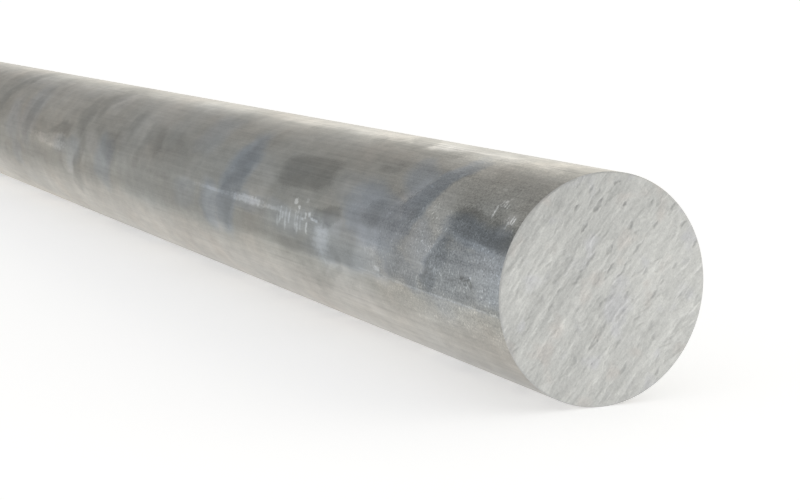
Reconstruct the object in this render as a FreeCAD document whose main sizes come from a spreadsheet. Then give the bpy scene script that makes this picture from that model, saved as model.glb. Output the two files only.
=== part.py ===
import FreeCAD, Part
import Sketcher
import os

# Solid round aluminium bar, lying on the floor as it is stored.
# The section is extruded in one piece, and a saw cuts the bar to its sold length.
# The bar runs along X. The origin is on the floor, under the middle of the length.

# Driving dimensions in millimetres: alias, value, meaning
DIMENSIONS = [
    ("bar_diameter", 50.0, "outside diameter of the extruded section"),
    ("bar_length", 1000.0, "length from one sawn face to the other"),
    ("edge_break", 0.3, "leg of the 45 degree edge filed round each sawn face"),
]

PARTS_FOLDER = "parts"


def make_dimensions(doc):
    """The spreadsheet that drives the bar, with one row for each size."""
    sheet = doc.addObject("Spreadsheet::Sheet", "Dimensions")
    for row, (alias, value, meaning) in enumerate(DIMENSIONS, start=1):
        sheet.set(f"A{row}", alias)
        sheet.set(f"B{row}", str(value))
        sheet.set(f"C{row}", meaning)
        sheet.setAlias(f"B{row}", alias)
    doc.recompute()
    return sheet


def origin_plane(body, role):
    """One of the body's own origin planes, found by its role."""
    return next(o for o in body.Origin.OriginFeatures if o.Role == role)


def draw_section(body, sheet):
    """The round section, across the bar's length, with its lowest point on the floor.

    In the constraints, point 3 of the rim is its centre, -2 is the sketch's upright axis,
    and point 1 of -1 is the sketch's origin.
    """
    sketch = body.newObject("Sketcher::SketchObject", "Section")
    sketch.AttachmentSupport = (origin_plane(body, "YZ_Plane"), "")
    sketch.MapMode = "FlatFace"
    radius = sheet.bar_diameter / 2
    centre = FreeCAD.Vector(0, radius, 0)
    rim = sketch.addGeometry(Part.Circle(centre, FreeCAD.Vector(0, 0, 1), radius))
    sketch.addConstraint(Sketcher.Constraint("PointOnObject", rim, 3, -2))
    diameter = sketch.addConstraint(Sketcher.Constraint("Diameter", rim, 2 * radius))
    height = sketch.addConstraint(Sketcher.Constraint("DistanceY", -1, 1, rim, 3, radius))
    sketch.renameConstraint(diameter, "section_diameter")
    sketch.renameConstraint(height, "axis_height")
    sketch.setExpression("Constraints.section_diameter", "Dimensions.bar_diameter")
    sketch.setExpression("Constraints.axis_height", "Dimensions.bar_diameter / 2")
    return sketch


def extrude(body, sketch):
    """The extruded length, half of it to each side of the section."""
    pad = body.newObject("PartDesign::Pad", "Extrusion")
    pad.Profile = sketch
    pad.SideType = "Symmetric"
    pad.setExpression("Length", "Dimensions.bar_length")
    return pad


def rim_edges(feature):
    """Names of the round edges where the sawn faces meet the side."""
    edges = enumerate(feature.Shape.Edges, start=1)
    return [f"Edge{number}" for number, edge in edges if isinstance(edge.Curve, Part.Circle)]


def break_edges(body, pad):
    """The narrow bevel that takes the burr off both sawn rims."""
    chamfer = body.newObject("PartDesign::Chamfer", "BrokenEdges")
    chamfer.Base = (pad, rim_edges(pad))
    chamfer.setExpression("Size", "Dimensions.edge_break")
    return chamfer


def make_round_bar(doc, sheet):
    """The whole bar: section, extrusion and broken edges."""
    body = doc.addObject("PartDesign::Body", "RoundBar")
    body.Label = "round_bar"
    sketch = draw_section(body, sheet)
    pad = extrude(body, sketch)
    doc.recompute()
    body.Tip = break_edges(body, pad)
    doc.recompute()
    return body


def check_document(doc, pieces):
    """Stops the build if an object failed or a piece is not one sound solid."""
    failed = [o.Name for o in doc.Objects if {"Invalid", "Error"} & set(o.State)]
    if failed:
        raise RuntimeError(f"these objects failed to build: {failed}")
    for piece in pieces:
        shape = piece.Shape
        if shape.isNull() or not shape.isValid() or len(shape.Solids) != 1:
            raise RuntimeError(f"{piece.Label} is not one valid solid")


def write_pieces(pieces):
    """One STEP file for each piece, named by its label."""
    os.makedirs(PARTS_FOLDER, exist_ok=True)
    for piece in pieces:
        piece.Shape.exportStep(os.path.join(PARTS_FOLDER, f"{piece.Label}.step"))
        box = piece.Shape.BoundBox
        size = f"{box.XLength:.2f} x {box.YLength:.2f} x {box.ZLength:.2f} mm"
        print(f"{piece.Label}: {size}, {piece.Shape.Volume / 1000:.1f} cm3")


document = FreeCAD.newDocument("round_bar_stock")
dimensions = make_dimensions(document)
round_bar = make_round_bar(document, dimensions)
check_document(document, [round_bar])
write_pieces([round_bar])
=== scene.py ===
import math

import bpy
import numpy as np
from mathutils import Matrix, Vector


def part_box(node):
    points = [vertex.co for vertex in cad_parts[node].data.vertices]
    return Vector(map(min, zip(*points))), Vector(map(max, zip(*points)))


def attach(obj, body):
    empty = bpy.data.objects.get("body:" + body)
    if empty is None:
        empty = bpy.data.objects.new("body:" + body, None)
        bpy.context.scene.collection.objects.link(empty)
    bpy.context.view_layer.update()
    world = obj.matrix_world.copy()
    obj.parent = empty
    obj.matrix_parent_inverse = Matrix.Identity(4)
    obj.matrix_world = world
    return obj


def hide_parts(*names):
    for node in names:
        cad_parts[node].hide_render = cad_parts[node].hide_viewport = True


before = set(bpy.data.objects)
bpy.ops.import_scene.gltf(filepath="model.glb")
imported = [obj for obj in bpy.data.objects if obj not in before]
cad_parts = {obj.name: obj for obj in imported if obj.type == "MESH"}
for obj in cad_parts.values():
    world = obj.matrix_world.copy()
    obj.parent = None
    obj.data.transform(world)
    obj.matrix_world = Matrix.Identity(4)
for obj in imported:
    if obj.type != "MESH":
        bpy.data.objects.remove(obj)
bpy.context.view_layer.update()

# The camera: a long lens close to the near sawn end, looking along the bar and a little down.
# Its place and turn come from a fit to the bar's outline and the rim of the sawn face.
PHOTO_WIDTH_PIXELS = 800
FOCAL_LENGTH_PIXELS = 1836.7
SENSOR_WIDTH_MM = 36.0
CAMERA_FROM_SAWN_FACE = (0.32382, -0.20146, 0.06513)
CAMERA_TURN = 64.56
CAMERA_DOWN = 8.49

bar_low, bar_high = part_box("round_bar")
bar_radius = (bar_high.y - bar_low.y) / 2
bar_length = bar_high.x - bar_low.x
axis_height = (bar_low.z + bar_high.z) / 2
floor_height = axis_height - bar_radius
sawn_face_centre = (bar_high.x, 0.0, axis_height)

lens = bpy.data.cameras.new("camera")
lens.sensor_width = SENSOR_WIDTH_MM
lens.lens = FOCAL_LENGTH_PIXELS * SENSOR_WIDTH_MM / PHOTO_WIDTH_PIXELS
lens.clip_start = 0.01
lens.clip_end = 100.0
camera = bpy.data.objects.new("camera", lens)
camera.location = [face + step for face, step in zip(sawn_face_centre, CAMERA_FROM_SAWN_FACE)]
camera.rotation_euler = (math.radians(90 - CAMERA_DOWN), 0, math.radians(CAMERA_TURN))
bpy.context.scene.collection.objects.link(camera)
bpy.context.scene.camera = camera

# The studio: a wide pale floor under a room that is plain in the bar's cross direction.
# A long low white screen stands beyond the bar, and the rest of the room is a soft grey.
FLOOR_HALF_WIDTH = 20.0
FLOOR_COLOUR = (0.8, 0.8, 0.8, 1.0)
FLOOR_GLOW = 0.5
SCREEN_LIGHT = (1.2, 1.18, 1.1, 1.0)
ROOM_LIGHT = (0.55, 0.55, 0.55, 1.0)
SCREEN_TOP = 35.0
SCREEN_FADE = 65.0


def add_node(tree, kind, name, **settings):
    """A new node of that kind, with its settings made and its inputs set or linked by name."""
    node = tree.nodes.new(kind)
    node.label = name
    inputs = settings.pop("inputs", {})
    for setting, value in settings.items():
        setattr(node, setting, value)
    for socket, value in inputs.items():
        if isinstance(value, bpy.types.NodeSocket):
            tree.links.new(value, node.inputs[socket])
        else:
            node.inputs[socket].default_value = value
    return node


def calculate(tree, operation, first, second=0.0, third=0.0, clamp=False):
    """The output of a Math node that works on two or three numbers or sockets."""
    node = add_node(tree, "ShaderNodeMath", operation.lower(), operation=operation, use_clamp=clamp,
                    inputs={0: first, 1: second, 2: third})
    return node.outputs[0]


def ramp(tree, value, start, end, low=0.0, high=1.0):
    """A smooth step of a value: low up to start, high from end on."""
    node = add_node(tree, "ShaderNodeMapRange", "smooth step", interpolation_type="SMOOTHSTEP",
                    inputs={"Value": value, "From Min": start, "From Max": end,
                            "To Min": low, "To Max": high})
    return node.outputs[0]


def light_room():
    """The world. Its light depends on the roll about the bar's axis, counted up from the far side:
    screen light up to SCREEN_TOP degrees, fading to room light at SCREEN_FADE degrees."""
    world = bpy.data.worlds.new("room")
    world.use_nodes = True
    tree = world.node_tree
    tree.nodes.clear()
    place = add_node(tree, "ShaderNodeTexCoord", "direction")
    axes = add_node(tree, "ShaderNodeSeparateXYZ", "axes", inputs={0: place.outputs["Generated"]})
    roll = calculate(tree, "ARCTAN2", axes.outputs["Z"], axes.outputs["Y"])
    degrees = calculate(tree, "DEGREES", roll)
    screen = ramp(tree, degrees, SCREEN_TOP, SCREEN_FADE, 1.0, 0.0)
    beyond = ramp(tree, degrees, -SCREEN_FADE, -SCREEN_TOP)
    share = calculate(tree, "MULTIPLY", screen, beyond)
    colour = add_node(tree, "ShaderNodeMix", "screen or room", data_type="RGBA",
                      inputs={0: share, 6: ROOM_LIGHT, 7: SCREEN_LIGHT})
    light = add_node(tree, "ShaderNodeBackground", "light", inputs={"Color": colour.outputs[2]})
    add_node(tree, "ShaderNodeOutputWorld", "world", inputs={"Surface": light.outputs[0]})
    bpy.context.scene.world = world


def paint_floor():
    """A matt pale floor. Cameras, metal and glass see it glow as well, so that it is white."""
    paint = bpy.data.materials.new("pale_floor")
    paint.use_nodes = True
    tree = paint.node_tree
    tree.nodes.clear()
    matt = add_node(tree, "ShaderNodeBsdfDiffuse", "matt", inputs={"Color": FLOOR_COLOUR})
    ray = add_node(tree, "ShaderNodeLightPath", "ray")
    seen = calculate(tree, "MAXIMUM", ray.outputs["Is Camera Ray"], ray.outputs["Is Glossy Ray"])
    seen = calculate(tree, "MAXIMUM", seen, ray.outputs["Is Transmission Ray"])
    strength = calculate(tree, "MULTIPLY", seen, FLOOR_GLOW)
    glow = add_node(tree, "ShaderNodeEmission", "glow", inputs={"Strength": strength})
    both = add_node(tree, "ShaderNodeAddShader", "both", inputs={0: matt.outputs[0], 1: glow.outputs[0]})
    add_node(tree, "ShaderNodeOutputMaterial", "floor", inputs={"Surface": both.outputs[0]})
    return paint


def lay_floor():
    """A square of one face at the height of the bar's underside."""
    corner = FLOOR_HALF_WIDTH
    points = [(-corner, -corner, floor_height), (corner, -corner, floor_height),
              (corner, corner, floor_height), (-corner, corner, floor_height)]
    mesh = bpy.data.meshes.new("floor")
    mesh.from_pydata(points, [], [(0, 1, 2, 3)])
    mesh.materials.append(paint_floor())
    floor = bpy.data.objects.new("floor", mesh)
    bpy.context.scene.collection.objects.link(floor)


light_room()
lay_floor()

# The round bar: one solid of aluminium, extruded through a round die and stretched straight.
# A bandsaw cut both ends, and a file broke the edge round each of them. It has no coating.
EDGE_BREAK = 0.0003
FACE_CELLS = 200
SIDE_RINGS = 12
SHARP_ANGLE = 30.0
MM = 0.001
FRONT_SEED = 11
BACK_SEED = 23

# The saw's streaks fan out a little: they rise at SAW_SLOPE degrees in the middle of the face,
# and SAW_FAN degrees less for each millimetre to the right. Depths and sizes are in millimetres.
SAW_SLOPE = 50.0
SAW_FAN = 0.35
STREAK_DEPTH = 0.10
COMB_DEPTH = 0.02
FLAKE_DEPTH = 0.09
FLAKE_COUNT = 420
FLAKE_LENGTH = 7.0
FLAKE_WIDTH = 1.0
TEAR_DEPTH = 0.19
RIDGE_HEIGHT = 0.08
SPOT_REACH = 24.0

# Noise on the face, in layers: weight, length along the streaks and width across them.
FINE_WANDER = [(0.28, 1.6, 1.1), (0.10, 0.7, 0.6)]
STREAKS = [(0.55, 18.0, 2.1), (0.60, 12.0, 1.1), (0.40, 5.5, 0.7)]
CHATTER = [(1.0, 1.1, 0.55), (0.9, 0.5, 0.32)]
WOBBLE = [(0.45, 2.2, 1.7), (0.25, 0.8, 0.7)]

# The face's lightness, in levels of which TONE_LEVELS lead from its darkest to its lightest. It holds
# painted shade and light of the relief: what faces left is lighter, as painted light from the left, up to
# a slope of STEEPEST, and the tears are darker and the ridges lighter. The face is lighter to the right,
# and darker in the middle and at the top.
TONE_LEVELS = 60.0
STREAK_TONE = 7.6
FLAKE_TONE = 5.4
CHATTER_TONE = 4.4
COMB_TONE = 3.9
RIDGE_TONE = 15.0
TEAR_TONE = 12.0
FACING_LEFT_LIGHT_TONE = 26.0
STEEPEST = 0.35
RIGHT_TONE = 4.5
MIDDLE_TONE = 2.0
TOP_TONE = 5.0
EDGE_TONE = 0.35

# Tears that the saw's teeth left in the front face, in millimetres from its middle: right, up, length,
# width, and strength from 0 to 1.
TEARS = [
    (-1.6, 18.2, 3.6, 1.1, 1.0), (-7.2, 17.9, 2.1, 0.6, 0.9), (-5.4, 13.5, 2.6, 0.7, 0.9),
    (-3.9, 21.6, 2.3, 0.5, 0.6), (-2.0, 20.7, 2.3, 0.5, 0.5), (-12.2, 17.8, 5.8, 0.8, 0.4),
    (-11.7, 18.8, 2.0, 1.3, 0.35), (-17.0, 13.3, 4.2, 0.5, 0.4), (-8.6, 16.3, 1.7, 0.6, 0.35),
    (-12.2, 12.1, 1.8, 0.8, 0.3), (-9.4, 9.0, 1.3, 0.9, 0.6), (-8.9, 6.7, 4.6, 2.1, 0.6),
    (-11.5, 4.1, 4.8, 1.5, 0.45), (-13.9, 6.2, 2.5, 0.9, 0.45), (-17.8, 5.4, 2.4, 0.8, 0.3),
    (-16.6, 7.5, 2.0, 0.6, 0.35), (-18.0, 3.3, 2.0, 0.7, 0.3), (-21.2, 1.6, 1.1, 0.7, 0.3),
    (-3.6, 7.0, 5.0, 0.7, 0.6), (-6.4, 3.3, 4.6, 1.3, 0.75), (-1.9, 2.9, 3.6, 1.6, 0.5),
    (-0.4, 3.9, 1.4, 0.6, 0.6), (-1.3, 12.1, 3.8, 0.6, 0.35), (2.6, 22.8, 1.6, 0.6, 0.8),
    (1.0, 21.4, 2.4, 0.4, 0.4), (4.3, 18.1, 1.4, 0.7, 0.9), (6.3, 13.4, 1.8, 0.9, 0.9),
    (7.3, 12.2, 1.3, 0.6, 0.5), (12.3, 13.3, 2.9, 0.7, 0.8), (11.2, 18.4, 1.6, 0.5, 0.6),
    (8.2, 8.6, 4.4, 0.7, 0.8), (10.8, 11.4, 2.6, 0.5, 0.35), (1.3, 8.4, 2.8, 1.0, 0.75),
    (1.1, 4.7, 3.4, 0.5, 0.7), (4.1, 4.2, 4.2, 0.6, 0.9), (10.0, 3.5, 2.5, 0.7, 0.7),
    (17.3, 4.0, 2.0, 0.8, 0.7), (12.3, 3.4, 1.1, 0.6, 0.4), (14.1, 0.8, 1.4, 0.6, 0.5),
    (16.7, 10.5, 1.8, 0.5, 0.5), (19.5, 13.0, 2.4, 0.8, 0.7), (16.5, 17.0, 2.4, 0.6, 0.5),
    (22.2, 8.5, 2.4, 0.7, 0.7), (1.6, 15.0, 4.2, 0.7, 0.4), (2.3, 12.8, 1.8, 1.1, 0.25),
    (23.3, 2.6, 2.8, 0.6, 0.4), (6.2, 10.4, 1.3, 0.5, 0.35), (-13.0, -2.4, 2.3, 0.6, 0.6),
    (-15.5, -0.5, 2.4, 0.8, 0.35), (-11.8, -5.2, 3.2, 1.3, 0.4), (-6.7, -3.6, 1.9, 0.7, 0.5),
    (-4.9, -6.7, 1.4, 0.7, 0.5), (-6.4, -8.0, 1.4, 1.0, 0.4), (-0.7, -8.9, 3.0, 0.6, 0.5),
    (-2.4, -11.0, 3.4, 0.8, 0.75), (-1.6, -1.7, 2.4, 0.9, 0.5), (-0.8, -3.4, 1.8, 0.8, 0.4),
    (-6.5, -11.5, 1.4, 0.7, 0.35), (-7.1, -14.0, 1.8, 0.6, 0.35), (-8.8, -15.7, 1.5, 0.6, 0.35),
    (-5.9, -17.9, 1.1, 0.6, 0.3), (1.9, -1.1, 3.2, 1.0, 0.55), (0.6, -2.2, 1.4, 0.9, 0.4),
    (5.6, -1.0, 2.1, 0.8, 0.8), (6.7, -2.7, 0.8, 0.5, 0.6), (8.0, -1.9, 2.4, 0.4, 0.4),
    (12.0, -1.5, 3.0, 0.6, 0.85), (8.0, -6.0, 3.0, 0.6, 0.55), (8.5, -8.2, 2.7, 0.6, 0.45),
    (4.6, -4.4, 1.8, 1.1, 0.5), (3.6, -5.6, 1.8, 0.8, 0.5), (0.4, -7.4, 1.5, 0.6, 0.4),
    (3.1, -11.5, 2.6, 0.8, 0.65), (5.0, -17.1, 2.4, 0.7, 0.7), (12.2, -10.4, 1.5, 0.8, 0.6),
    (11.5, -8.4, 1.8, 1.0, 0.35), (9.2, -12.2, 1.3, 0.7, 0.5), (9.6, -13.4, 2.6, 1.6, 0.25),
    (16.5, -12.4, 3.2, 0.4, 0.5), (13.0, -15.6, 1.4, 0.5, 0.4), (18.7, -2.1, 2.8, 0.5, 0.5),
    (18.8, -8.2, 5.6, 1.2, 0.4), (13.5, -18.5, 1.1, 0.8, 0.6), (14.3, -17.0, 0.9, 0.6, 0.4),
    (19.3, -13.0, 1.0, 0.7, 0.4), (23.2, -3.2, 2.0, 0.7, 0.4), (13.0, -20.4, 2.4, 0.8, 0.4),
]

# Ridges that the teeth pushed up between the tears, given in the same way.
RIDGES = [
    (-8.3, 6.1, 6.4, 0.7, 1.0), (-6.9, 5.5, 3.0, 0.7, 0.5), (-4.7, 9.4, 1.8, 0.8, 0.4),
    (-9.9, 2.8, 6.4, 1.0, 0.55), (-15.6, 2.7, 3.2, 1.1, 0.4), (-12.2, 9.0, 4.4, 1.8, 0.35),
    (-10.2, 15.2, 2.2, 1.2, 0.3), (-12.8, 7.8, 1.5, 0.6, 0.5), (-15.5, 14.0, 1.6, 0.8, 0.5),
    (-6.3, 1.6, 1.2, 0.8, 0.6), (-8.0, 13.4, 1.2, 0.9, 0.3), (17.5, 10.9, 0.9, 0.7, 0.8),
    (18.5, 13.8, 1.0, 0.7, 0.5), (11.6, 6.4, 1.8, 0.8, 0.5), (19.4, 3.8, 1.7, 0.7, 0.6),
    (18.9, 6.9, 1.8, 1.1, 0.4), (6.6, 9.0, 3.0, 1.6, 0.3), (4.4, 17.2, 1.0, 0.6, 0.4),
    (10.5, 1.9, 1.3, 0.6, 0.4), (-20.2, -5.6, 6.6, 1.1, 0.5), (-13.5, -1.8, 3.8, 0.7, 0.6),
    (-10.0, -6.4, 2.6, 1.6, 0.8), (-12.2, -8.3, 2.8, 0.6, 1.0), (-16.4, -7.1, 4.0, 0.6, 0.5),
    (-9.7, -11.1, 3.2, 0.7, 0.6), (-4.1, -12.1, 3.2, 1.1, 0.9), (-7.2, -1.5, 2.0, 1.2, 0.6),
    (-8.2, -3.4, 2.1, 1.0, 0.5), (-6.1, -5.6, 1.6, 1.0, 0.5), (-7.9, -7.6, 2.2, 0.9, 0.4),
    (-8.3, -16.8, 1.8, 0.8, 0.5), (-0.9, -6.6, 2.8, 1.2, 0.5), (-0.5, -21.9, 0.7, 0.7, 0.6),
    (-2.3, -18.0, 1.8, 0.8, 0.3), (3.6, -8.7, 4.2, 1.2, 0.4), (8.0, -11.2, 2.6, 1.6, 0.5),
    (11.3, -14.1, 1.4, 0.7, 0.5), (1.0, -12.9, 1.5, 0.8, 0.6), (16.9, -8.4, 1.6, 0.8, 0.4),
    (7.4, -4.2, 3.0, 1.6, 0.4), (5.3, -2.7, 1.0, 0.5, 0.6), (22.0, -8.6, 2.2, 0.8, 0.5),
    (6.2, -20.6, 6.2, 1.2, 0.4), (13.6, -12.4, 4.2, 1.0, 0.3), (-2.6, -14.6, 4.0, 0.9, 0.3),
]


def disc_grid(cells, radius):
    """A square grid laid over a disc. A point is as many radii from the centre as the larger of its two
    grid coordinates, and turned from that side's middle by 45 degrees times the smaller over the
    larger."""
    line = np.linspace(-1.0, 1.0, cells + 1)
    across, up = np.meshgrid(line, line)
    beside = np.abs(across) >= np.abs(up)
    major = np.where(beside, across, up)
    minor = np.where(beside, up, across)
    turn = np.pi / 4 * minor / np.where(major == 0, 1.0, major)
    y = major * np.where(beside, np.cos(turn), np.sin(turn))
    z = major * np.where(beside, np.sin(turn), np.cos(turn))
    return radius * y.ravel(), radius * z.ravel()


def grid_rim(cells):
    """The numbers of the grid's border points, from its lowest left corner round by the right."""
    rows = np.arange((cells + 1) ** 2).reshape(cells + 1, cells + 1)
    return np.concatenate([rows[0, :-1], rows[:-1, -1], rows[-1, :0:-1], rows[:0:-1, 0]])


def grid_faces(cells):
    """Four corners for each cell of the grid, running from right to up."""
    rows = np.arange((cells + 1) ** 2).reshape(cells + 1, cells + 1)
    return np.stack([rows[:-1, :-1], rows[:-1, 1:], rows[1:, 1:], rows[1:, :-1]], -1).reshape(-1, 4)


def smooth_noise(draw, along, across, long_step, wide_step):
    """Random heights from -1 to 1 at the corners of cells long_step by wide_step. Between them a point
    takes each corner's height by the smooth step 3t^2 - 2t^3 of its place in the cell."""
    u = (along - along.min()) / long_step
    v = (across - across.min()) / wide_step
    heights = draw.uniform(-1.0, 1.0, (int(u.max()) + 2, int(v.max()) + 2))
    column = np.floor(u).astype(int)
    row = np.floor(v).astype(int)
    s = (u - column) ** 2 * (3 - 2 * (u - column))
    t = (v - row) ** 2 * (3 - 2 * (v - row))
    near = heights[column, row] * (1 - t) + heights[column, row + 1] * t
    far = heights[column + 1, row] * (1 - t) + heights[column + 1, row + 1] * t
    return near * (1 - s) + far * s


def layered_noise(draw, along, across, layers):
    """The sum of one smooth noise for each layer, times its weight."""
    total = 0.0
    for weight, long_step, wide_step in layers:
        total = total + weight * smooth_noise(draw, along, across, long_step, wide_step)
    return total


def torn_flakes(draw, along, across):
    """Each point lies on the flake whose seed is nearest, distances being counted in flake lengths and
    widths. A flake has its own height, and rises along the streak from its torn lower end."""
    reach = 1.1 * np.abs(along).max()
    seeds = draw.uniform(-reach, reach, (FLAKE_COUNT, 2))
    height = draw.uniform(-0.6, 0.6, FLAKE_COUNT)
    right = (along[:, None] - seeds[:, 0]) / FLAKE_LENGTH
    up = (across[:, None] - seeds[:, 1]) / FLAKE_WIDTH
    nearest = np.argmin(right ** 2 + up ** 2, axis=1)
    rise = right[np.arange(len(along)), nearest]
    return np.clip(height[nearest] + 0.7 * rise, -1.0, 1.0)


def streak_spots(y, z, wobble, spots):
    """The strength, from 0 to 1, of spots that lie along the streaks. A spot is an ellipse, narrower
    towards its upper end, whose edge fades from 0.6 to 1.2 of its size and is shaken by the wobble."""
    total = np.zeros_like(y)
    for right, up, length, width, strength in spots:
        turn = math.radians(SAW_SLOPE - SAW_FAN * right)
        ahead = (y + wobble[0] - right) * math.cos(turn) + (z + wobble[1] - up) * math.sin(turn)
        beside = (z + wobble[1] - up) * math.cos(turn) - (y + wobble[0] - right) * math.sin(turn)
        ahead = 2 * ahead / length
        beside = 2 * beside / width * (1 + 0.35 * np.clip(ahead, -1.0, 1.0))
        edge = np.clip((1.2 - np.hypot(ahead, beside)) / 0.6, 0.0, 1.0)
        total = np.maximum(total, strength * edge ** 2 * (3 - 2 * edge))
    return total


def random_spots(draw, count, longest, strongest):
    """Small spots scattered evenly over the face, each given as right, up, length, width, strength."""
    reach = np.sqrt(draw.uniform(0.0, 1.0, count)) * SPOT_REACH
    turn = draw.uniform(0.0, 2 * np.pi, count)
    length = draw.uniform(0.3, 1.0, count) * longest
    width = draw.uniform(0.3, 0.6, count)
    strength = draw.uniform(0.3, 1.0, count) * strongest
    return list(zip(reach * np.cos(turn), reach * np.sin(turn), length, width, strength))


def rise_along(height, y, z, direction):
    """How fast a height on the grid rises in one direction, from its steps along rows and columns."""
    cells = FACE_CELLS + 1
    height_up, height_on = np.gradient(height.reshape(cells, cells))
    y_up, y_on = np.gradient(y.reshape(cells, cells))
    z_up, z_on = np.gradient(z.reshape(cells, cells))
    area = y_on * z_up - y_up * z_on
    by_y = (height_on * z_up - height_up * z_on) / area
    by_z = (height_up * y_on - height_on * y_up) / area
    return (by_y * direction[0] + by_z * direction[1]).ravel()


def saw_relief(y, z, seed, tears, ridges):
    """Depth below the flat face in millimetres and lightness of each point of a sawn end. A streak's own
    line is z - ln(cos(slope - fan * y)) / fan = constant. Noise of several sizes, long and narrow, lies
    along those lines and wanders off them, less so on the left. Flakes, tears and ridges lie on it. The
    lightness holds painted shade and light of that relief: darker where it lies deep, lighter where it
    stands up or faces left."""
    draw = np.random.default_rng(seed)
    slope = math.radians(SAW_SLOPE)
    fan = math.radians(SAW_FAN)
    across = (z - np.log(np.cos(slope - fan * y)) / fan) * math.cos(slope)
    across = across - across.mean()
    along = y * math.cos(slope) + z * math.sin(slope)
    leftness = np.clip(-y / 12.0, -1.0, 1.0)
    wander = (0.6 - 0.2 * leftness) * smooth_noise(draw, along, across, 6.0, 4.0)
    wander += layered_noise(draw, along, across, FINE_WANDER)
    streaks = layered_noise(draw, along, across + wander, STREAKS) * (1.0 + 0.2 * leftness)
    combed = 0.5 + 0.5 * smooth_noise(draw, along, across, 12.0, 9.0)
    combing = smooth_noise(draw, along, across + 0.3 * wander, 9.0, 0.42) * combed
    chatter = layered_noise(draw, along, across, CHATTER)
    flakes = torn_flakes(draw, along, across + wander)
    wobble = [layered_noise(draw, y, z, WOBBLE) for axis in range(2)]
    torn = streak_spots(y, z, wobble, tears + random_spots(draw, 120, 2.4, 0.30))
    raised = streak_spots(y, z, wobble, ridges + random_spots(draw, 150, 5.0, 0.60))
    depth = STREAK_DEPTH * (1 - streaks) / 2 + FLAKE_DEPTH * (1 - flakes) / 2
    depth += TEAR_DEPTH * torn - RIDGE_HEIGHT * raised - COMB_DEPTH * combing

    left = (math.sin(slope), -math.cos(slope))
    faces_left = np.clip(rise_along(-depth, y, z, left), -STEEPEST, STEEPEST)
    # Painted shade and light: darker where the relief lies deep, lighter where it stands up or faces
    # left.
    tone = STREAK_TONE * streaks + FLAKE_TONE * flakes + CHATTER_TONE * chatter + COMB_TONE * combing
    tone += RIDGE_TONE * raised - TEAR_TONE * torn - FACING_LEFT_LIGHT_TONE * faces_left
    tone += RIGHT_TONE * y / bar_radius * MM
    tone -= MIDDLE_TONE * np.exp(-(y ** 2 + z ** 2) / 60.0)
    tone -= TOP_TONE * np.clip((z - 8) / 10, 0, 1)
    return depth - depth.min(), np.clip(0.5 + tone / TONE_LEVELS, 0.0, 1.0)


def build_bar():
    """One closed skin: a sawn face, its broken edge, rings along the side, the other edge and face.
    A point of the side lies at a ring's place along X, and at the bar's radius from its axis."""
    y, z = disc_grid(FACE_CELLS, bar_radius - EDGE_BREAK)
    rim = grid_rim(FACE_CELLS)
    turn = np.arctan2(z[rim], y[rim])
    middle = (bar_high.x + bar_low.x) / 2
    half = bar_length / 2
    front_depth, front_tone = saw_relief(y / MM, z / MM, FRONT_SEED, TEARS, RIDGES)
    back_depth, back_tone = saw_relief(-y / MM, z / MM, BACK_SEED, TEARS[::3], RIDGES[::3])
    along = np.linspace(half - EDGE_BREAK, -half + EDGE_BREAK, SIDE_RINGS)
    ring_x, ring_turn = np.meshgrid(along, turn, indexing="ij")
    front = np.stack([half - front_depth * MM, y, z], -1)
    side = np.stack([ring_x, bar_radius * np.cos(ring_turn), bar_radius * np.sin(ring_turn)], -1)
    back = np.stack([back_depth * MM - half, y, z], -1)
    points = np.concatenate([front, side.reshape(-1, 3), back])
    points += (middle, 0.0, axis_height)

    side_count = side.shape[0] * side.shape[1]
    back_start = len(front) + side_count
    rings = [rim]
    rings += [len(front) + ring * len(rim) + np.arange(len(rim)) for ring in range(SIDE_RINGS)]
    rings += [back_start + rim]
    rings = np.array(rings)
    here = rings[:-1]
    there = rings[1:]
    bands = np.stack([here, there, np.roll(there, -1, 1), np.roll(here, -1, 1)], -1)
    front_faces = grid_faces(FACE_CELLS)
    back_faces = back_start + grid_faces(FACE_CELLS)[:, ::-1]
    faces = np.concatenate([front_faces, bands.reshape(-1, 4), back_faces])
    finish = np.zeros(len(faces), np.int32)
    finish[:len(front_faces) + len(rim)] = 1
    finish[-len(back_faces) - len(rim):] = 1

    mesh = bpy.data.meshes.new("aluminium_bar")
    mesh.vertices.add(len(points))
    mesh.vertices.foreach_set("co", points.ravel())
    mesh.loops.add(faces.size)
    mesh.loops.foreach_set("vertex_index", faces.ravel().astype(np.int32))
    mesh.polygons.add(len(faces))
    mesh.polygons.foreach_set("loop_start", np.arange(0, faces.size, 4, dtype=np.int32))
    mesh.polygons.foreach_set("material_index", finish)
    mesh.polygons.foreach_set("use_smooth", np.ones(len(faces), bool))
    mesh.update(calc_edges=True)
    tone = np.concatenate([front_tone, np.full(side_count, EDGE_TONE), back_tone])
    layer = mesh.attributes.new("saw_tone", "FLOAT", "POINT")
    layer.data.foreach_set("value", tone.astype(np.float32))
    mesh.validate()
    mesh.set_sharp_from_angle(angle=math.radians(SHARP_ANGLE))
    return mesh


def noise(tree, vector, scale, detail, roughness):
    """The height, from 0 to 1, of a Noise node on that vector, with scale cells for each unit."""
    node = add_node(tree, "ShaderNodeTexNoise", "noise", normalize=True,
                    inputs={"Vector": vector, "Scale": scale, "Detail": detail, "Roughness": roughness})
    return node.outputs["Fac"]


def stretch(tree, vector, scale, rotation=(0.0, 0.0, 0.0), location=(0.0, 0.0, 0.0)):
    """The vector turned, scaled and moved by a Mapping node."""
    node = add_node(tree, "ShaderNodeMapping", "stretch",
                    inputs={"Vector": vector, "Scale": scale, "Rotation": rotation, "Location": location})
    return node.outputs[0]


def blend_colour(tree, share, first, second, blend_type="MIX"):
    """Two colours mixed, or multiplied, by a share from 0 to 1."""
    node = add_node(tree, "ShaderNodeMix", "colour", data_type="RGBA", blend_type=blend_type,
                    inputs={0: share, 6: first, 7: second})
    return node.outputs[2]


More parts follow.
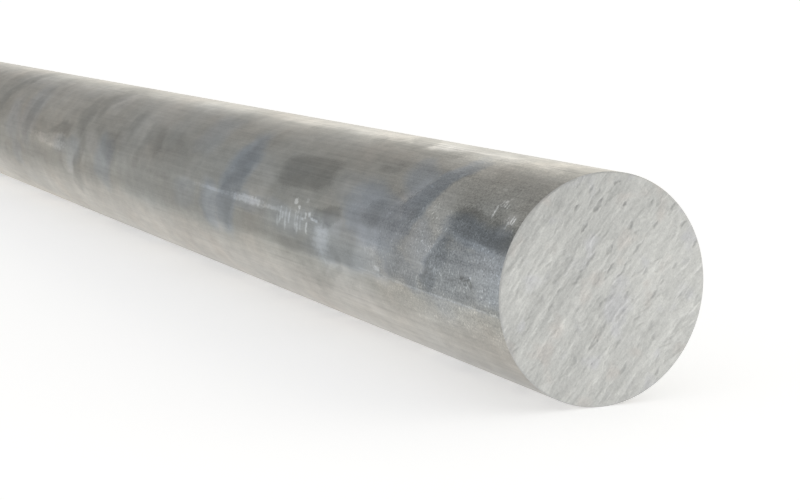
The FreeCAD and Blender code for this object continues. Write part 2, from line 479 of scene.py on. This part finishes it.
def tinted(tree, colour, share, tint):
    """The colour multiplied by a tint, by a share from 0 to 1."""
    return blend_colour(tree, share, colour, tint, "MULTIPLY")


def product(tree, first, *others):
    """Several values multiplied together."""
    for other in others:
        first = calculate(tree, "MULTIPLY", first, other)
    return first


def centred(tree, value, swing):
    """A value from 0 to 1 turned into one from minus half to plus half the swing."""
    return calculate(tree, "MULTIPLY_ADD", value, swing, -swing / 2)


def new_group(name, inputs, outputs):
    """An empty node group with the named inputs and outputs, and its two end nodes."""
    group = bpy.data.node_groups.new(name, "ShaderNodeTree")
    for direction, sockets in (("INPUT", inputs), ("OUTPUT", outputs)):
        for socket, kind in sockets:
            group.interface.new_socket(socket, in_out=direction, socket_type=kind)
    return group, group.nodes.new("NodeGroupInput"), group.nodes.new("NodeGroupOutput")


NUMBER = "NodeSocketFloat"
VECTOR = "NodeSocketVector"
ARC_MM_PER_DEGREE = math.radians(bar_radius / MM)

# The sheet on which the side is unrolled, in degrees round the bar and millimetres along it.
SHEET_TOP = -25.0
SHEET_BOTTOM = 155.0
SHEET_SHIFT = 190.0
SHEET_FOLD = 0.56 * bar_length / MM


def make_bar_place():
    """The group that turns a point into its place on the bar. Along is millimetres from the near sawn
    face, and Turn is degrees round from the top towards -Y. Unrolled is that place in millimetres on
    a sheet from SHEET_TOP to SHEET_BOTTOM degrees. It is mirrored at SHEET_FOLD along, past the middle
    of the bar, and comes again on the far side, moved SHEET_SHIFT millimetres along. Its third number
    is 1, for what a mark's row adds."""
    group, enter, leave = new_group("bar_place", [("Point", VECTOR)],
                                    [("Along", NUMBER), ("Turn", NUMBER), ("Unrolled", VECTOR)])
    axes = add_node(group, "ShaderNodeSeparateXYZ", "axes", inputs={0: enter.outputs["Point"]})
    along = calculate(group, "MULTIPLY_ADD", axes.outputs["X"], -1 / MM, bar_high.x / MM)
    height = calculate(group, "SUBTRACT", axes.outputs["Z"], axis_height)
    front = calculate(group, "MULTIPLY", axes.outputs["Y"], -1.0)
    turn = calculate(group, "DEGREES", calculate(group, "ARCTAN2", front, height))
    sheet_turn = calculate(group, "WRAP", turn, SHEET_BOTTOM, SHEET_TOP)
    near_side = calculate(group, "COMPARE", turn, sheet_turn, 1.0)
    shift = calculate(group, "MULTIPLY_ADD", near_side, -SHEET_SHIFT, SHEET_SHIFT)
    sheet_along = calculate(group, "PINGPONG", calculate(group, "ADD", along, shift), SHEET_FOLD)
    arc = calculate(group, "MULTIPLY", sheet_turn, ARC_MM_PER_DEGREE)
    sheet = add_node(group, "ShaderNodeCombineXYZ", "sheet", inputs={0: sheet_along, 1: arc, 2: 1.0})
    group.links.new(along, leave.inputs["Along"])
    group.links.new(sheet_turn, leave.inputs["Turn"])
    group.links.new(sheet.outputs[0], leave.inputs["Unrolled"])
    return group


def make_film_mark():
    """The group for one mark on the unrolled side. With u and v the place in a frame that is centred on
    the mark, turned with it and measured in its half sizes, the mark fades out where the square root
    of u^4 + v^4, plus the raggedness, passes 1, over the softness to each side of it. A row holds what
    the place's millimetres along and round are multiplied by to give u or v, and what is added."""
    group, enter, leave = new_group("film_mark", [
        ("Place", VECTOR), ("Ragged", NUMBER), ("Row Along", VECTOR), ("Row Round", VECTOR),
        ("Softness", NUMBER), ("Strength", NUMBER), ("Under", NUMBER)], [("Mask", NUMBER)])
    given = enter.outputs
    fourths = 0.0
    for row in ("Row Along", "Row Round"):
        offset = add_node(group, "ShaderNodeVectorMath", row, operation="DOT_PRODUCT",
                          inputs={0: given["Place"], 1: given[row]}).outputs["Value"]
        square = calculate(group, "MULTIPLY", offset, offset)
        fourths = calculate(group, "MULTIPLY_ADD", square, square, fourths)
    apart = calculate(group, "ADD", calculate(group, "SQRT", fourths), given["Ragged"])
    inner = calculate(group, "SUBTRACT", 1.0, given["Softness"])
    outer = calculate(group, "ADD", 1.0, given["Softness"])
    mask = ramp(group, apart, inner, outer, given["Strength"], 0.0)
    group.links.new(calculate(group, "MAXIMUM", mask, given["Under"]), leave.inputs["Mask"])
    return group


# Marks in the film, by kind, from the near sawn face on. Each is given by its middle, in millimetres
# along and degrees round, its half length and half width in millimetres, its tilt in degrees, its
# softness and its strength. These are dark, where the film is thick: slanting bands, stains and flecks.
# The long narrow ones at 17 degrees round are painted shade at the lower edge of the bright line
# along the top.
DARK_MARKS = [
    (3, 8, 6, 6, 0, 0.8, 1), (5, 30, 20, 9, 0, 0.9, 0.28), (6, 61, 8, 3, 0, 0.5, 0.5),
    (12, 17, 12, 2.2, 0, 0.9, 0.5), (12, 134, 20, 9, 0, 0.9, 0.5), (12.4, 87.2, 0.8, 0.4, 10, 0.5, 0.9),
    (14.2, 86.4, 1.3, 0.5, 10, 0.5, 1), (16.8, 84.8, 1.3, 0.5, 10, 0.5, 1),
    (23, 54, 6, 2.6, 0, 0.6, 0.6), (28, 76, 2.4, 5, -43, 0.8, 0.4), (33, 90, 2.8, 4.6, -43, 0.6, 0.75),
    (44, 46, 4.2, 11, -39, 0.5, 0.6), (47, 90, 10, 3.4, -20, 0.9, 0.2),
    (55, 70, 3.2, 6, -40, 0.7, 0.45), (57, 83, 2.6, 5, -40, 0.7, 0.4), (64, 67, 7, 2.6, 0, 0.7, 0.6),
    (72, 39, 5, 1.6, 10, 0.9, 0.5), (77, 17, 24, 2.2, 0, 0.6, 0.7), (80, 4, 4.4, 9.5, 50, 0.45, 1),
    (83, 98, 1.6, 1, -20, 0.9, 0.5), (85, -3, 4, 5, 50, 0.6, 1), (86, 107, 5, 1, 30, 0.9, 0.5),
    (91, 76, 7, 2.6, 6, 0.6, 0.8), (97, 118, 7, 2.6, 20, 0.9, 0.7), (98, 110, 13, 8, 0, 0.9, 0.25),
    (113, 99, 10, 1.6, 0, 0.9, 0.35), (120, 17, 20, 2.4, 0, 0.8, 0.5), (121, 66, 11, 4.4, 8, 0.7, 0.08),
    (140, 90, 9, 3, 0, 0.8, 0.35), (150, 42, 3.6, 5, -34, 0.8, 0.35), (156, 60, 5.4, 8, -30, 0.8, 0.55),
    (163, 84, 5.2, 6.6, -34, 0.6, 0.62), (187, 14, 8, 8, 0, 0.9, 0.7), (222, 54, 20, 3.4, -6, 0.9, 0.4),
    (226, 62, 18, 3.2, 0, 0.8, 0.2), (230, 90, 46, 4.4, 0, 0.9, 0.3), (238, 55, 10, 5, -4, 0.7, 0.8),
    (247, 72, 3, 7, -30, 0.8, 0.4), (266, 56, 5, 8, -26, 0.8, 0.35), (276, 66, 11, 4.2, 8, 0.8, 0.5),
    (278, 77, 9, 3.4, -10, 0.8, 0.6), (307, 5, 6, 10, 50, 0.6, 1), (308, 30, 6, 7, -30, 0.8, 0.6),
    (314, 6, 12, 3.6, 0, 0.8, 1), (316, 94, 4.4, 11, -34, 0.8, 0.75), (320, 50, 8, 6, -30, 0.8, 0.65),
    (340, 118, 9, 16, 0, 0.9, 0.35), (346, 71, 15, 2.2, 8, 0.8, 0.7), (355, 76, 24, 1.8, 0, 0.8, 0.5),
    (360, 102, 22, 5, 0, 0.9, 0.35), (365, 10, 30, 3, 0, 0.9, 0.45), (365, 70, 12, 2.4, 0, 0.9, 0.35),
    (390, 64, 5, 11, -16, 0.8, 0.5), (402, 104, 5, 9, -24, 0.9, 0.45), (406, 116, 34, 9, 0, 0.9, 0.6),
    (428, 12, 6, 10, -24, 0.8, 0.9), (434, 84, 7, 16, -16, 0.9, 0.4), (437, 44, 5, 11, -36, 0.8, 0.65),
    (452, 10, 9, 12, 0, 0.9, 0.4),
]
# Bluish marks, where the film is thin enough to show its colours.
BLUE_MARKS = [
    (6, 80, 9, 8, 0, 0.7, 0.62), (15, 64, 14, 4, -4, 0.6, 0.8), (22, 85, 12, 6, 0, 0.8, 0.7),
    (31, 84, 4, 8, -43, 0.7, 0.9), (36, 84, 14, 6, -30, 0.9, 0.55), (46, 52, 5, 15, -28, 0.6, 1),
    (47, 90, 11, 4, -10, 0.9, 0.8), (54, 41, 9, 5, -30, 0.8, 0.8), (64, 70, 18, 7.5, -8, 0.8, 1),
    (66, 70, 12, 4, 0, 0.8, 0.6), (78, 88, 24, 6, 0, 0.8, 0.55), (80, 56, 12, 4, 0, 0.9, 0.3),
    (118, 84, 14, 4, 0, 0.9, 0.4), (150, 80, 18, 3, 0, 0.9, 0.6), (157, 56, 9, 9, -28, 0.7, 0.9),
    (162, 82, 8, 9, -30, 0.7, 0.9), (176, 88, 8, 6, -20, 0.8, 0.75), (192, 40, 10, 7, 0, 0.9, 0.5),
    (197, 88, 9, 4, 0, 0.9, 0.4), (284, 83, 9, 8, -12, 0.8, 0.7), (322, 84, 8, 5, 0, 0.9, 0.5),
    (334, 82, 12, 3.4, 0, 0.9, 0.45), (392, 62, 11, 12, -16, 0.9, 0.5), (405, 100, 7, 5, -20, 0.9, 0.5),
    (412, 76, 12, 7, -20, 0.9, 0.5),
]
# Dark marks with straight edges, where the bar lay on the run-out table's slats.
SLAT_MARKS = [
    (13, 60, 15.5, 3.2, -4, 0.45, 0.86), (15.4, 85.8, 2.2, 0.5, 12, 0.5, 0.8),
    (113, 53, 17, 4.9, 3, 0.35, 0.9),
]
# Pale marks, where something rubbed the film off again. The long narrow ones along the top, from 5 to
# 12 degrees round, are painted highlight in the bright line there.
PALE_MARKS = [
    (5, 89, 6, 3.4, 0, 0.7, 0.6), (5, 55, 2.5, 2.4, 0, 0.8, 0.7), (6, 77, 10, 4.4, 0, 0.7, 0.72),
    (17, 76, 7, 3.4, 0, 0.8, 0.35), (20, 105, 14, 4, 0, 0.9, 0.25), (30, 62, 3, 3.4, 0, 0.7, 0.35),
    (34, 71, 3.4, 8, -40, 0.7, 0.8), (36, 9, 34, 2, 0, 0.8, 0.35), (38, 62, 4.2, 9, -30, 0.6, 0.5),
    (52, 56, 4, 6, -36, 0.8, 0.5), (56, 72, 6, 5, 0, 0.8, 0.45), (60, 7.5, 20, 2.4, 0, 0.7, 0.75),
    (63, 87, 9, 5.6, 0, 0.7, 0.65), (75, 66, 11, 5, 0, 0.9, 0.3), (77, 112, 12, 5, -12, 0.8, 0.45),
    (87, 81, 5, 2.4, 0, 0.6, 0.5), (93, 88, 4.4, 4.4, -20, 0.8, 0.75), (105, 86, 14, 4, 0, 0.8, 0.1),
    (105, 5, 12, 3, 0, 0.7, 0.6), (141, 66, 7, 6, -20, 0.8, 0.35), (146, 61, 3.2, 2, 0, 0.8, 0.4),
    (146, 7, 30, 2.6, 0, 0.8, 0.35), (173, 90, 8, 4.4, -20, 0.8, 0.5), (198, 86, 7, 4, 0, 0.9, 0.3),
    (226, 42, 14, 3, 0, 0.9, 0.25), (240, 12, 40, 3, 0, 0.9, 0.3), (248, 42, 12, 9, -20, 0.8, 0.4),
    (268, 63, 5, 3, 0, 0.9, 0.45), (298, 30, 9, 6, -20, 0.9, 0.6), (300, 72, 8, 4, -20, 0.9, 0.45),
    (329, 94, 7, 2.2, 0, 0.8, 0.6), (362, 18, 26, 3, 0, 0.9, 0.3), (372, 43, 40, 8, 0, 0.9, 0.3),
    (410, 27, 14, 4.6, 0, 0.9, 0.4), (418, 58, 9, 6, 0, 0.9, 0.45),
]
# Scuffs that kept their straight edges: a long rub along the bar, and strokes side by side across it.
# The two thin lines at 98.4 and 99 degrees round, along the film's lower edge, are painted highlight on
# the reflected edge of the floor.
SCUFFS_AND_HIGHLIGHT_LINES = [
    (3.6, 53, 0.28, 0.9, 0, 0.6, 0.8), (4.2, 54.2, 0.9, 0.22, 15, 0.6, 0.6),
    (4.6, 52, 0.28, 1, 0, 0.6, 0.8), (5.4, 55, 0.28, 0.8, 0, 0.6, 0.7),
    (6.3, 51.6, 0.25, 0.6, 0, 0.6, 0.5), (9.6, 45.6, 0.25, 0.6, 0, 0.6, 0.6),
    (10.5, 41, 0.9, 0.25, 10, 0.6, 0.4), (10.8, 44, 0.28, 1, 0, 0.6, 0.8),
    (11.2, 42.6, 0.9, 0.22, 20, 0.6, 0.6), (11.6, 43.2, 1, 0.45, 10, 0.5, 0.9),
    (11.7, 43.5, 0.28, 0.9, 0, 0.6, 0.8), (12.7, 43.8, 0.3, 0.8, 0, 0.6, 0.7),
    (12.8, 45.6, 0.7, 0.22, -15, 0.6, 0.5), (13.2, 84.6, 0.5, 0.3, 0, 0.6, 0.6),
    (13.2, 49.5, 0.35, 1.6, 10, 0.6, 0.9), (16.5, 36, 0.9, 0.3, 0, 0.6, 0.4),
    (24, 99, 32, 0.22, 0, 0.8, 0.3), (38.5, 32, 1.2, 0.4, 30, 0.6, 0.3),
    (46.5, 44, 0.9, 0.3, 0, 0.6, 0.4), (60, 95, 1.6, 0.6, 0, 0.8, 0.35),
    (60, 98.4, 12, 0.2, 0, 0.8, 0.25), (91, 107, 5, 0.5, 35, 0.9, 0.1),
    (93, 90, 4.4, 4, -30, 0.9, 0.26), (98.2, 79.8, 2.4, 0.4, 0, 0.7, 0.8),
    (101.6, 77.5, 0.9, 0.6, 0, 0.8, 0.7), (102.8, 85.5, 0.6, 1.3, 0, 0.8, 0.7),
    (103.9, 79, 0.6, 0.8, 0, 0.8, 0.6), (104.6, 70, 0.7, 0.6, 0, 0.9, 0.3),
    (105.6, 81, 0.9, 0.4, 0, 0.8, 0.7), (106.9, 83, 0.5, 1.8, 0, 0.9, 0.45),
    (108.9, 83, 0.6, 2.8, 0, 0.9, 0.55), (108.9, 74.5, 0.7, 0.6, 0, 0.8, 0.8),
    (110.3, 82.5, 0.5, 2.2, 0, 0.9, 0.45), (111.7, 71.5, 1.1, 0.9, 0, 0.8, 0.75),
    (112, 82, 8, 2.6, 0, 0.9, 0.12), (114.5, 82, 0.6, 2, 0, 0.9, 0.6), (117, 84, 0.6, 2.4, 0, 0.9, 0.5),
    (118, 80, 5, 1.2, 0, 0.9, 0.22), (119, 81, 0.6, 1.2, 0, 0.9, 0.6), (120.7, 82, 0.6, 2, 0, 0.9, 0.6),
    (122.5, 85, 0.6, 1.6, 0, 0.9, 0.35), (125, 79.6, 7, 0.5, 0, 0.9, 0.35),
    (145, 79.3, 11, 1, 0, 0.9, 0.55), (175, 79.4, 14, 0.5, 0, 0.8, 0.3),
    (350, 76, 12, 1.2, 6, 0.8, 0.28), (356, 80.5, 20, 1.7, -2, 0.8, 0.38),
]


def gather_marks(tree, group, place, ragged, marks):
    """The strongest of several marks at each point, each laid over those before it."""
    total = 0.0
    for along, turn, half_length, half_width, tilt, softness, strength in marks:
        middle = np.array([along, turn * ARC_MM_PER_DEGREE])
        ahead = np.array([math.cos(math.radians(tilt)), math.sin(math.radians(tilt))]) / half_length
        aside = np.array([-math.sin(math.radians(tilt)), math.cos(math.radians(tilt))]) / half_width
        total = add_node(tree, "ShaderNodeGroup", "mark", node_tree=group, inputs={
            "Place": place, "Ragged": ragged, "Row Along": (*ahead, -ahead @ middle),
            "Row Round": (*aside, -aside @ middle), "Softness": softness, "Strength": strength,
            "Under": total}).outputs["Mask"]
    return total


# Colours of the side. The film, its shades, the marks and the specks each multiply the clean metal.
# Some are painted light: a painted reflection of the floor on the lower side, painted shade past the top
# and along the film's edges, a painted highlight on the crest and in some pale marks, and painted glints.
CLEAN_METAL = (0.505, 0.487, 0.452, 1.0)
WARM_FILM = (0.815, 0.813, 0.793, 1.0)
COOL_FILM = (0.765, 0.795, 0.80, 1.0)
FAR_FILM = (0.795, 0.797, 0.775, 1.0)
# A thicker film and painted shade: darker above the film's lower edge.
HEAVY_FILM_AND_SHADE = (0.715, 0.715, 0.70, 1.0)
BELOW_FILM = (1.0, 0.995, 0.975, 1.0)
# Painted reflection: the lower side, from 126 to 150 degrees round, is made lighter.
LOWER_SIDE_REFLECTION = (1.085, 1.085, 1.09, 1.0)
# Painted reflection: the lower side far along the bar is made lighter as well.
FAR_LOWER_REFLECTION = (1.035, 1.03, 1.01, 1.0)
# Painted shade: the side past the top, beyond the bright line, is made darker.
FAR_SIDE_SHADE = (0.89, 0.89, 0.90, 1.0)
# Painted highlight: the crest near the top, nearer than 320 millimetres along, is made lighter.
CREST_HIGHLIGHT = (1.07, 1.065, 1.06, 1.0)
FAR_STRETCH = (1.006, 1.0, 0.988, 1.0)
DARK_TINT = (0.670, 0.671, 0.664, 1.0)
BLUE_TINT = (0.855, 0.94, 1.095, 1.0)
PALE_TINT = (1.40, 1.40, 1.44, 1.0)
# Lighter: bare metal in the nicks and scuffs, and painted highlight in two thin lines along the film's
# lower edge.
BARE_NICK_AND_HIGHLIGHT = (1.9, 1.92, 2.0, 1.0)
WARM_CLOUD = (1.03, 0.995, 0.97, 1.0)
COOL_CLOUD = (0.98, 1.0, 1.025, 1.0)
# Painted glints: bright specks on the film near the sawn face.
GLINT_SPECK = (1.70, 1.70, 1.72, 1.0)
HAZE_SHARE = 0.36
CLEAN_ROUGHNESS = 0.24
FILM_ROUGHNESS = 0.10
STIPPLE_ROUGHNESS = 0.14
DIE_LINE_DEPTH = 0.00002

# Noise on the side: cells a metre along and round the bar, octaves of detail, roughness, and for the
# hue a shift that sets it apart from the clouds.
SIDE_NOISES = {
    "bands": (85.0, 14.0, 2.0, 0.55),
    "clouds": (26.0, 50.0, 3.0, 0.55),
    "hue": (26.0, 46.0, 3.0, 0.55, (3.0, 1.0, 7.0)),
    "mottle": (150.0, 320.0, 4.0, 0.65),
    "stipple": (1700.0, 2500.0, 2.0, 0.7),
    "fine lines": (25.0, 1500.0, 2.0, 0.6),
    "wide lines": (7.0, 330.0, 3.0, 0.6),
    "breaks": (500.0, 900.0, 2.0, 0.6),
    "specks": (2600.0, 1300.0, 1.0, 0.6),
}

# How far noise pushes the marks about from one extreme to the other, in millimetres along and round.
WARP = (9.0, 6.0, 0.0)


def side_noise(tree, point, along, around, detail, roughness, shift=(0.0, 0.0, 0.0)):
    """Noise on the side, with that many cells a metre along the bar and round it."""
    cells = stretch(tree, point, (along, around, around), location=shift)
    return noise(tree, cells, 1.0, detail, roughness)


def warped_place(tree, point, sheet):
    """The place on the unrolled side, pushed about by noise, so that marks lose their plain shapes."""
    drift = add_node(tree, "ShaderNodeTexNoise", "drift", inputs={
        "Vector": stretch(tree, point, (70.0, 120.0, 120.0)), "Scale": 1.0, "Detail": 2.0,
        "Roughness": 0.5}).outputs["Color"]
    drift = add_node(tree, "ShaderNodeVectorMath", "drift about zero", operation="SUBTRACT",
                     inputs={0: drift, 1: (0.5, 0.5, 0.5)}).outputs["Vector"]
    return add_node(tree, "ShaderNodeVectorMath", "warped place", operation="MULTIPLY_ADD",
                    inputs={0: drift, 1: WARP, 2: sheet}).outputs["Vector"]


def film_shares(tree, along, turn):
    """How thick the grey film is and how far its darker lower stretch has come in, both from 0 to 1, and
    how far below the film's lower edge a point lies, in widths of that edge. A haze starts near the top
    and the film's body below it. The lower edge is sharp near the sawn face, and soft far off. The film
    is a stain whose edges are also painted light: the haze's start is painted shade under the bright line
    along the top, and the lower edge is a painted reflection of the floor's edge."""
    # Painted reflection: the film's lower edge, sharp near the sawn face and soft far off, paints the
    # reflected edge of the floor.
    edge_turn = ramp(tree, along, 75.0, 110.0, 99.5, 101.0)
    edge_width = ramp(tree, along, 50.0, 230.0, 1.0, 9.0)
    below = calculate(tree, "DIVIDE", calculate(tree, "SUBTRACT", turn, edge_turn), edge_width)
    distance = ramp(tree, along, 110.0, 260.0)
    # Painted shade: where the haze starts sets the lower edge of the bright line along the top, softer
    # far along.
    haze_start = calculate(tree, "MULTIPLY_ADD", distance, -6.0, 10.0)
    haze_full = calculate(tree, "MULTIPLY_ADD", distance, 8.0, 17.0)
    haze = ramp(tree, turn, haze_start, haze_full, 0.0, HAZE_SHARE)
    body = ramp(tree, turn, 14.0, 37.0, 0.0, 1.0 - HAZE_SHARE)
    lower_edge = ramp(tree, below, -1.0, 1.0, 1.0, 0.80)
    last_trace = ramp(tree, turn, 101.0, 124.0, 1.0, 0.0)
    film = product(tree, calculate(tree, "ADD", haze, body), lower_edge, last_trace)
    # Darker above the lower edge from 74 degrees round: a thicker film, and painted shade down to the
    # painted reflected edge of the floor.
    lower_half = ramp(tree, turn, 74.0, 92.0)
    sharp_edge = ramp(tree, below, -1.0, 1.0, 1.0, 0.0)
    lighter_near = ramp(tree, along, 30.0, 130.0, 0.55, 1.0)
    return film, product(tree, lower_half, sharp_edge, lighter_near), below


def filmed_metal(tree, along, turn):
    """The film's share, and the clean metal's colour under the film and its shades. Each shade comes in
    between two turns in degrees, two places along in millimetres, or both. Some shades are painted
    light: the lighter lower side, near and far along, is a painted reflection of the floor; the darker
    side past the top is painted shade; and the lighter crest is a painted highlight."""
    film, heavy_film_and_shade, below = film_shares(tree, along, turn)
    film_tint = blend_colour(tree, ramp(tree, along, 200.0, 360.0), COOL_FILM, FAR_FILM)
    film_tint = blend_colour(tree, ramp(tree, turn, 22.0, 60.0), WARM_FILM, film_tint)
    # Painted reflection of the floor: lighter on the lower side far along.
    far_lower_reflection = product(tree, ramp(tree, along, 130.0, 380.0), ramp(tree, turn, 100.0, 145.0))
    # Painted highlight on the crest, from -3 to 8 degrees round, fading from 200 to 320 millimetres
    # along.
    crest_highlight = product(tree, ramp(tree, turn, 14.0, 8.0), ramp(tree, turn, -10.0, -3.0),
                    ramp(tree, along, 320.0, 200.0))
    colour = tinted(tree, CLEAN_METAL, film, film_tint)
    colour = tinted(tree, colour, heavy_film_and_shade, HEAVY_FILM_AND_SHADE)
    colour = tinted(tree, colour, ramp(tree, below, 0.0, 1.0), BELOW_FILM)
    colour = tinted(tree, colour, far_lower_reflection, FAR_LOWER_REFLECTION)
    # Painted reflection of the floor: lighter towards the underside.
    colour = tinted(tree, colour, ramp(tree, turn, 126.0, 150.0), LOWER_SIDE_REFLECTION)
    # Painted shade past the top.
    colour = tinted(tree, colour, ramp(tree, turn, 0.0, -12.0), FAR_SIDE_SHADE)
    colour = tinted(tree, colour, crest_highlight, CREST_HIGHLIGHT)
    return film, tinted(tree, colour, ramp(tree, along, 240.0, 360.0), FAR_STRETCH)


def marked_metal(tree, colour, group, along, sheet, warped, noises):
    """The colour with its marks, from the pale ones to the scuffs and the painted highlight lines. Noise
    makes the edges ragged, less so far along the bar, scratches up the pale marks and breaks up the
    scuffs. Past the stretch that the photograph shows, the dark marks are fainter."""
    uneven = calculate(tree, "ADD", centred(tree, noises["mottle"], 0.9),
                       centred(tree, noises["stipple"], 1.1))
    ragged = product(tree, uneven, ramp(tree, along, 40.0, 240.0, 1.0, 0.55))
    scratchy = calculate(tree, "ADD", centred(tree, noises["stipple"], 3.0),
                         centred(tree, noises["mottle"], 1.2))
    firm = product(tree, ragged, 0.25)
    broken = centred(tree, noises["breaks"], 4.5)
    faint = ramp(tree, along, 450.0, 540.0, 1.0, 0.45)
    colour = tinted(tree, colour, gather_marks(tree, group, warped, scratchy, PALE_MARKS), PALE_TINT)
    colour = tinted(tree, colour, gather_marks(tree, group, warped, ragged, BLUE_MARKS), BLUE_TINT)
    dark = product(tree, gather_marks(tree, group, warped, ragged, DARK_MARKS), faint)
    colour = tinted(tree, colour, dark, DARK_TINT)
    colour = tinted(tree, colour, gather_marks(tree, group, sheet, firm, SLAT_MARKS), DARK_TINT)
    return tinted(tree, colour, gather_marks(tree, group, sheet, broken, SCUFFS_AND_HIGHLIGHT_LINES), BARE_NICK_AND_HIGHLIGHT)


def side_shade(tree, along, turn, near_film, noises):
    """A grey that multiplies the colour: 1 plus the swing of the stipple, die lines, mottle, clouds and
    bands. The bright line along the top swings more, above all near the sawn face."""
    stippling = calculate(tree, "MULTIPLY_ADD", near_film, 1.1, 0.45)
    swing = product(tree, stippling, calculate(tree, "SUBTRACT", noises["stipple"], 0.5))
    lines = calculate(tree, "ADD", centred(tree, noises["fine lines"], 0.40),
                      centred(tree, noises["wide lines"], 0.32))
    swing = calculate(tree, "MULTIPLY_ADD", lines, ramp(tree, along, 90.0, 260.0, 1.0, 0.72), swing)
    for pattern, strength in (("mottle", 0.55), ("clouds", 0.45), ("bands", 0.30)):
        swing = calculate(tree, "ADD", swing, centred(tree, noises[pattern], strength))
    top = product(tree, ramp(tree, turn, 10.0, 24.0, 1.0, 0.0), ramp(tree, along, 60.0, 160.0, 1.3, 0.5))
    tone = calculate(tree, "MULTIPLY_ADD", swing, calculate(tree, "ADD", top, 1.0), 1.0)
    return add_node(tree, "ShaderNodeCombineColor", "tone", inputs={0: tone, 1: tone, 2: tone}).outputs[0]


def mill_finish(place_group, mark_group):
    """The extruded side: bare metal with die lines, a grey film over the side that rubbed on the
    run-out table, and the marks that its slats and the lifting blocks left in that film. Its colour also
    holds painted light: highlight along the top, shade past it and at the film's edges, a reflection of
    the floor on the lower side, and glints."""
    metal = bpy.data.materials.new("mill_finish")
    metal.use_nodes = True
    tree = metal.node_tree
    shader = tree.nodes["Principled BSDF"]
    point = add_node(tree, "ShaderNodeTexCoord", "point").outputs["Object"]
    place = add_node(tree, "ShaderNodeGroup", "bar place", node_tree=place_group, inputs={"Point": point})
    along = place.outputs["Along"]
    turn = place.outputs["Turn"]
    sheet = place.outputs["Unrolled"]
    noises = {name: side_noise(tree, point, *sizes) for name, sizes in SIDE_NOISES.items()}

    film, colour = filmed_metal(tree, along, turn)
    warped = warped_place(tree, point, sheet)
    colour = marked_metal(tree, colour, mark_group, along, sheet, warped, noises)
    colour = tinted(tree, colour, ramp(tree, noises["hue"], 0.48, 0.70), WARM_CLOUD)
    colour = tinted(tree, colour, ramp(tree, noises["hue"], 0.52, 0.30), COOL_CLOUD)
    near_film = product(tree, ramp(tree, along, 25.0, 90.0, 1.0, 0.0), film)
    # Painted glints: bright specks on the film near the sawn face, past 44 degrees round.
    specks = product(tree, ramp(tree, noises["specks"], 0.56, 0.72),
                     ramp(tree, noises["mottle"], 0.40, 0.60), near_film, ramp(tree, turn, 44.0, 62.0))
    colour = tinted(tree, colour, specks, GLINT_SPECK)
    colour = tinted(tree, colour, 1.0, side_shade(tree, along, turn, near_film, noises))
    tree.links.new(colour, shader.inputs["Base Color"])

    roughness = calculate(tree, "MULTIPLY_ADD", film, FILM_ROUGHNESS, CLEAN_ROUGHNESS)
    roughness = calculate(tree, "MULTIPLY_ADD", noises["stipple"], STIPPLE_ROUGHNESS, roughness)
    tree.links.new(roughness, shader.inputs["Roughness"])
    relief = calculate(tree, "MULTIPLY_ADD", noises["wide lines"], 1.5, noises["fine lines"])
    relief = calculate(tree, "ADD", relief, noises["stipple"])
    bump = add_node(tree, "ShaderNodeBump", "die lines",
                    inputs={"Strength": 0.6, "Distance": DIE_LINE_DEPTH, "Height": relief})
    tree.links.new(bump.outputs[0], shader.inputs["Normal"])
    shader.inputs["Metallic"].default_value = 1.0
    return metal


# The sawn faces' darkest and lightest colours, and the tints of their warm and cool blotches.
SAWN_DARK = (0.446, 0.452, 0.447, 1.0)
SAWN_LIGHT = (0.832, 0.836, 0.818, 1.0)
WARM_BLOTCH = (1.0, 0.972, 0.962, 1.0)
COOL_BLOTCH = (0.985, 0.985, 1.02, 1.0)
SAWN_ROUGHNESS = 0.55
GRAIN_ROUGHNESS = 0.14
GRAIN_DEPTH = 0.00004


def sawn_end():
    """The sawn faces: torn metal, matt and pale, darker in the tears and lighter on the ridges, which is
    painted shade and light of their relief. Noise gives fine scratches along the streaks and an even
    grain, in cells a metre."""
    metal = bpy.data.materials.new("sawn_end")
    metal.use_nodes = True
    tree = metal.node_tree
    shader = tree.nodes["Principled BSDF"]
    point = add_node(tree, "ShaderNodeTexCoord", "point").outputs["Object"]
    # This tone holds painted shade and light of the saw's relief.
    tone = add_node(tree, "ShaderNodeAttribute", "tone", attribute_name="saw_tone").outputs["Fac"]
    turned = stretch(tree, point, (1.0, 1.0, 1.0), rotation=(-math.radians(SAW_SLOPE), 0.0, 0.0))
    scratch = noise(tree, stretch(tree, turned, (1.0, 300.0, 3000.0)), 1.0, 2.0, 0.6)
    grain = noise(tree, point, 2600.0, 2.0, 0.8)
    blotch = noise(tree, point, 120.0, 2.0, 0.5)
    share = calculate(tree, "ADD", tone, centred(tree, scratch, 0.34))
    share = calculate(tree, "ADD", share, centred(tree, grain, 0.70), clamp=True)
    colour = blend_colour(tree, share, SAWN_DARK, SAWN_LIGHT)
    colour = tinted(tree, colour, ramp(tree, blotch, 0.56, 0.70), WARM_BLOTCH)
    colour = tinted(tree, colour, ramp(tree, blotch, 0.44, 0.30), COOL_BLOTCH)
    tree.links.new(colour, shader.inputs["Base Color"])

    roughness = calculate(tree, "MULTIPLY_ADD", grain, GRAIN_ROUGHNESS, SAWN_ROUGHNESS)
    tree.links.new(roughness, shader.inputs["Roughness"])
    relief = calculate(tree, "ADD", scratch, grain)
    bump = add_node(tree, "ShaderNodeBump", "saw grain",
                    inputs={"Strength": 0.5, "Distance": GRAIN_DEPTH, "Height": relief})
    tree.links.new(bump.outputs[0], shader.inputs["Normal"])
    shader.inputs["Metallic"].default_value = 1.0
    return metal


bar_mesh = build_bar()
bar_mesh.materials.append(mill_finish(make_bar_place(), make_film_mark()))
bar_mesh.materials.append(sawn_end())
bar = bpy.data.objects.new("aluminium_bar", bar_mesh)
bpy.context.scene.collection.objects.link(bar)
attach(bar, "root")
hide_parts("round_bar")

bpy.context.scene.view_settings.view_transform = "Standard"
